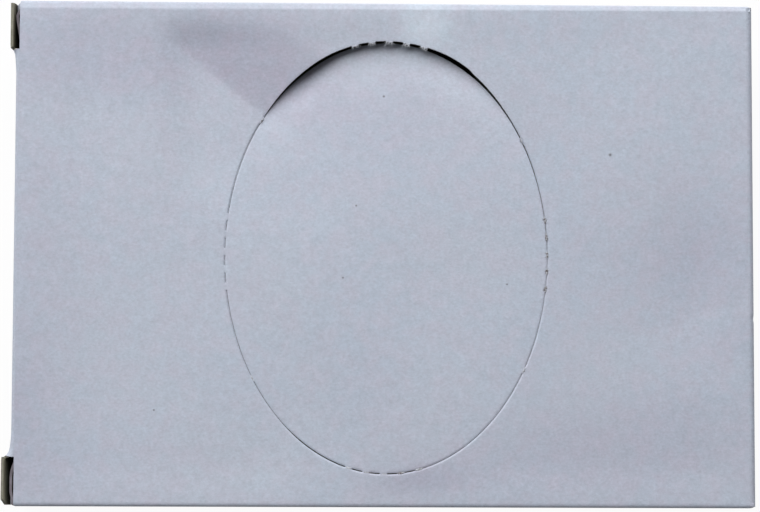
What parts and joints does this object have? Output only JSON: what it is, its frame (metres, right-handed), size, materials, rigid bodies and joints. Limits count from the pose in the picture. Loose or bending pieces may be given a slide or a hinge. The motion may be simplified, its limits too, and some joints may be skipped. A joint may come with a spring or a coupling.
{
  "type": "folding carton with perforated oval window",
  "caption": "Reverse-tuck folding carton of white-lined board lying on its back, with an oval tear-out panel in its front, pushed in at the top; both ends open.",
  "frame": {"origin": "centre of the bounding box's bottom face, on the back panel's outer face", "axes": "+X along the carton's length to the end whose closure hangs from the front panel, +Y along its width to the oval's torn end, +Z out of the front panel"},
  "size_m": [0.135, 0.09, 0.028],
  "materials": {
    "front_panel_board": "matt coated white board outside, uncoated grey-brown inside",
    "back_panel_board": "matt coated white board outside, uncoated grey-brown inside",
    "upper_side_panel_board": "matt coated white board outside, uncoated grey-brown inside",
    "lower_side_panel_board": "matt coated white board outside, uncoated grey-brown inside",
    "glue_flap_board": "matt coated white board outside, uncoated grey-brown inside",
    "oval_panel_board": "matt coated white board outside, uncoated grey-brown inside",
    "left_closure_board": "matt coated white board outside, uncoated grey-brown inside",
    "left_tuck_board": "matt coated white board outside, uncoated grey-brown inside",
    "left_upper_dust_board": "matt coated white board outside, uncoated grey-brown inside",
    "left_lower_dust_board": "matt coated white board outside, uncoated grey-brown inside",
    "right_closure_board": "matt coated white board outside, uncoated grey-brown inside",
    "right_tuck_board": "matt coated white board outside, uncoated grey-brown inside",
    "right_upper_dust_board": "matt coated white board outside, uncoated grey-brown inside",
    "right_lower_dust_board": "matt coated white board outside, uncoated grey-brown inside"
  },
  "bodies": {
    "carton": {"front_panel": "front_panel_board", "back_panel": "back_panel_board", "upper_side_panel": "upper_side_panel_board", "lower_side_panel": "lower_side_panel_board", "glue_flap": "glue_flap_board"},
    "oval": {"oval_panel": "oval_panel_board"},
    "left_closure": {"left_closure": "left_closure_board"},
    "left_tuck": {"left_tuck": "left_tuck_board"},
    "left_upper_dust": {"left_upper_dust": "left_upper_dust_board"},
    "left_lower_dust": {"left_lower_dust": "left_lower_dust_board"},
    "right_closure": {"right_closure": "right_closure_board"},
    "right_tuck": {"right_tuck": "right_tuck_board"},
    "right_upper_dust": {"right_upper_dust": "right_upper_dust_board"},
    "right_lower_dust": {"right_lower_dust": "right_lower_dust_board"}
  },
  "joints": [
    {"name": "left_closure_fold", "type": "hinge", "parent": "carton", "child": "left_closure", "pos_m": [-0.06571, 0, 0.00029], "axis": [0, -1, 0], "range_deg": [0, 130]},
    {"name": "left_tuck_fold", "type": "hinge", "parent": "left_closure", "child": "left_tuck", "pos_m": [-0.06571, 0, 0.02696], "axis": [0, 1, 0], "range_deg": [0, 13]},
    {"name": "left_upper_dust_fold", "type": "hinge", "parent": "carton", "child": "left_upper_dust", "pos_m": [-0.06496, 0.04471, 0.014], "axis": [0, 0, -1], "range_deg": [0, 39]},
    {"name": "left_lower_dust_fold", "type": "hinge", "parent": "carton", "child": "left_lower_dust", "pos_m": [-0.06496, -0.04471, 0.014], "axis": [0, 0, 1], "range_deg": [0, 39]},
    {"name": "right_closure_fold", "type": "hinge", "parent": "carton", "child": "right_closure", "pos_m": [0.06571, 0, 0.02771], "axis": [0, -1, 0], "range_deg": [0, 130]},
    {"name": "right_tuck_fold", "type": "hinge", "parent": "right_closure", "child": "right_tuck", "pos_m": [0.06571, 0, 0.00104], "axis": [0, 1, 0], "range_deg": [0, 13]},
    {"name": "right_upper_dust_fold", "type": "hinge", "parent": "carton", "child": "right_upper_dust", "pos_m": [0.06496, 0.04471, 0.014], "axis": [0, 0, 1], "range_deg": [0, 39]},
    {"name": "right_lower_dust_fold", "type": "hinge", "parent": "carton", "child": "right_lower_dust", "pos_m": [0.06496, -0.04471, 0.014], "axis": [0, 0, -1], "range_deg": [0, 39]},
    {"name": "oval_fold", "type": "hinge", "parent": "carton", "child": "oval", "pos_m": [0.0004, -0.039, 0.028], "axis": [1, 0, 0], "range_deg": [-17, 120]}
  ],
  "couplings": [
    {"joint": "left_tuck_fold", "follows": "left_closure_fold", "ratio": 0.1},
    {"joint": "left_upper_dust_fold", "follows": "left_closure_fold", "ratio": 0.3},
    {"joint": "left_lower_dust_fold", "follows": "left_closure_fold", "ratio": 0.3},
    {"joint": "right_tuck_fold", "follows": "right_closure_fold", "ratio": 0.1},
    {"joint": "right_upper_dust_fold", "follows": "right_closure_fold", "ratio": 0.3},
    {"joint": "right_lower_dust_fold", "follows": "right_closure_fold", "ratio": 0.3}
  ]
}
